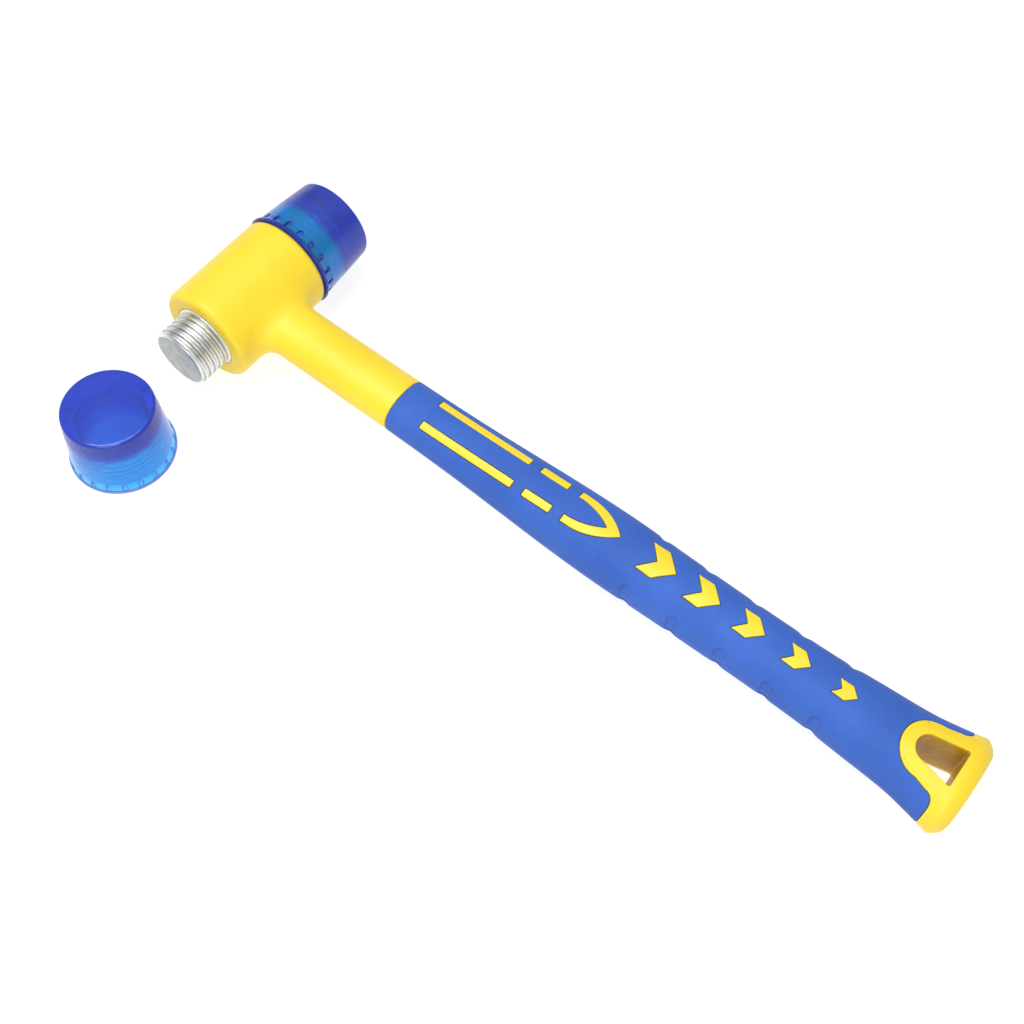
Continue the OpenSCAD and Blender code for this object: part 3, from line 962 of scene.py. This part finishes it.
def build_faces():
    points, faces = face_mesh()
    points = np.array(points)
    out = np.hypot(points[:, 0], points[:, 1])
    skin = out > FACE_RELIEF_R + 0.5
    top = (points[:, 2] > FACE_BORE_L + 1) | skin
    # the flange's rim takes the deep colour too: a painted shadow along it
    rim = (points[:, 2] < SKIRT_FOOT) & (out > SKIRT_R - 0.5)
    turn = np.arctan2(points[:, 1], points[:, 0])
    # painted shade: a dark line just inside each scoop's edge
    line_in, line_width = 0.15, 0.45
    outline = np.exp(-((scoop_edge(points[:, 2], turn) + line_in) / line_width) ** 2)
    outline *= skin & (points[:, 2] > SKIRT_FOOT) & (points[:, 2] < SCOOP_ZONE)
    material = blue_urethane()
    lift = Matrix.Translation((0, 0, CASING_HALF + FACE_GAP))
    # Painted light and shade: the azure below stands for the bright stud or hollow showing through the wall.
    # The deep colour starts where nothing bright is behind the wall: past the stud in the fitted face, and past
    # the hollow in the loose one.
    fitted_start, fitted_spread = 11.0, 4.0
    loose_start, loose_spread = FACE_BORE_L - 0.2, 2.2
    fitted = ("fitted_urethane", "right_face", TO_RIGHT @ lift, "fitted_face", fitted_start, fitted_spread)
    loose = ("loose_urethane", "left_face", LOOSE, "loose_face", loose_start, loose_spread)
    for name, node, matrix, body, start, spread in (fitted, loose):
        deep = np.clip((points[:, 2] - start) / spread, 0, 1) * top
        tint = np.maximum(np.maximum(deep, rim), outline)
        new_piece(name, points, faces, matrix, body, "face_urethane", [node], material,
                  tint=tint, haze=deep * skin * (points[:, 2] < FACE_H - 1.5))


def finish_inner_parts():
    """The CAD nodes inside the head and handle keep their shapes and get real materials."""
    steel = turned_steel("turned_steel", (0.30, 0.30, 0.31), (0.48, 0.48, 0.49), 0.28)
    shot = turned_steel("shot_steel", (0.40, 0.40, 0.42), (0.62, 0.62, 0.63), 0.18)
    chosen = {"barrel": steel, "handle_socket": steel, "socket_pin": steel, "steel_shot": shot,
              "fibreglass_rod": resin_rod()}
    for node, material in chosen.items():
        mesh = frame["nodes"][node].data
        mesh.materials.clear()
        mesh.materials.append(material)


# ---- Floor, light and camera ----


def build_floor():
    mesh = bpy.data.meshes.new("floor")
    half = 40.0
    corners = [(-half, -half, 0), (half, -half, 0), (half, half, 0), (-half, half, 0)]
    mesh.from_pydata(corners, [], [(0, 1, 2, 3)])
    floor = bpy.data.objects.new("floor", mesh)
    bpy.context.scene.collection.objects.link(floor)
    paint = Paint("floor_white")
    paint.set(Base_Color=(0.22, 0.22, 0.22, 1), Roughness=0.9, Specular_IOR_Level=0.1)
    paint.set(Emission_Color=(1, 1, 1, 1), Emission_Strength=0.86)
    mesh.materials.append(paint.material)


def add_light(name, place, size, power):
    """A soft square light at place that faces the middle of the mallet."""
    light = bpy.data.lights.new(name, "AREA")
    light.size = size
    light.energy = power
    lamp = bpy.data.objects.new(name, light)
    bpy.context.scene.collection.objects.link(lamp)
    lamp.location = place
    lamp.rotation_mode = "QUATERNION"
    lamp.rotation_quaternion = (Vector((0, 0, 0)) - Vector(place)).to_track_quat("-Z", "Y")


def build_light():
    """A room with bright ceiling and backdrop and a dimmer band between, and two soft lamps."""
    world = bpy.data.worlds.new("studio")
    bpy.context.scene.world = world
    world.use_nodes = True
    nodes = world.node_tree.nodes
    place = nodes.new("ShaderNodeTexCoord")
    split = nodes.new("ShaderNodeSeparateXYZ")
    ramp = nodes.new("ShaderNodeValToRGB")
    ramp.color_ramp.elements[0].color = (1, 1, 1, 1)
    ramp.color_ramp.elements[1].color = (1, 1, 1, 1)
    ramp.color_ramp.elements[0].position = 0.1
    ramp.color_ramp.elements[1].position = 0.75
    ramp.color_ramp.elements.new(0.05).color = (1.6, 1.6, 1.6, 1)
    ramp.color_ramp.elements.new(0.3).color = (0.22, 0.22, 0.23, 1)
    world.node_tree.links.new(place.outputs["Generated"], split.inputs["Vector"])
    world.node_tree.links.new(split.outputs["Z"], ramp.inputs["Fac"])
    world.node_tree.links.new(ramp.outputs["Color"], nodes["Background"].inputs["Color"])
    nodes["Background"].inputs["Strength"].default_value = 0.62
    add_light("key", place=(-0.3, -0.12, 1.3), size=0.8, power=11)
    add_light("fill", place=(0.45, -0.9, 0.8), size=0.9, power=5.5)
    bpy.context.scene.view_settings.view_transform = "Standard"


def build_camera():
    """Stands where the mallet was seen from: these angles, round a point on the surface."""
    azimuth, elevation, roll = math.radians(36.61), math.radians(59.87), math.radians(1.44)
    distance, lens = 0.6027, 49.9
    aim_x, aim_y = 0.15145, -0.00315
    aim = Vector((head_centre.x + aim_x, head_centre.y + aim_y, 0))
    back = Vector((math.sin(azimuth) * math.cos(elevation), -math.cos(azimuth) * math.cos(elevation),
                   math.sin(elevation)))
    level = Vector((math.cos(azimuth), math.sin(azimuth), 0))
    above = back.cross(level)
    right = level * math.cos(roll) + above * math.sin(roll)
    up = back.cross(right)
    data = bpy.data.cameras.new("camera")
    data.lens = lens
    data.sensor_width = 36
    camera = bpy.data.objects.new("camera", data)
    bpy.context.scene.collection.objects.link(camera)
    turned = Matrix((right, up, back)).transposed().to_4x4()
    camera.matrix_world = Matrix.Translation(aim + back * distance) @ turned
    bpy.context.scene.camera = camera


build_handle()
build_studs()
build_faces()
finish_inner_parts()
build_floor()
build_light()
build_camera()
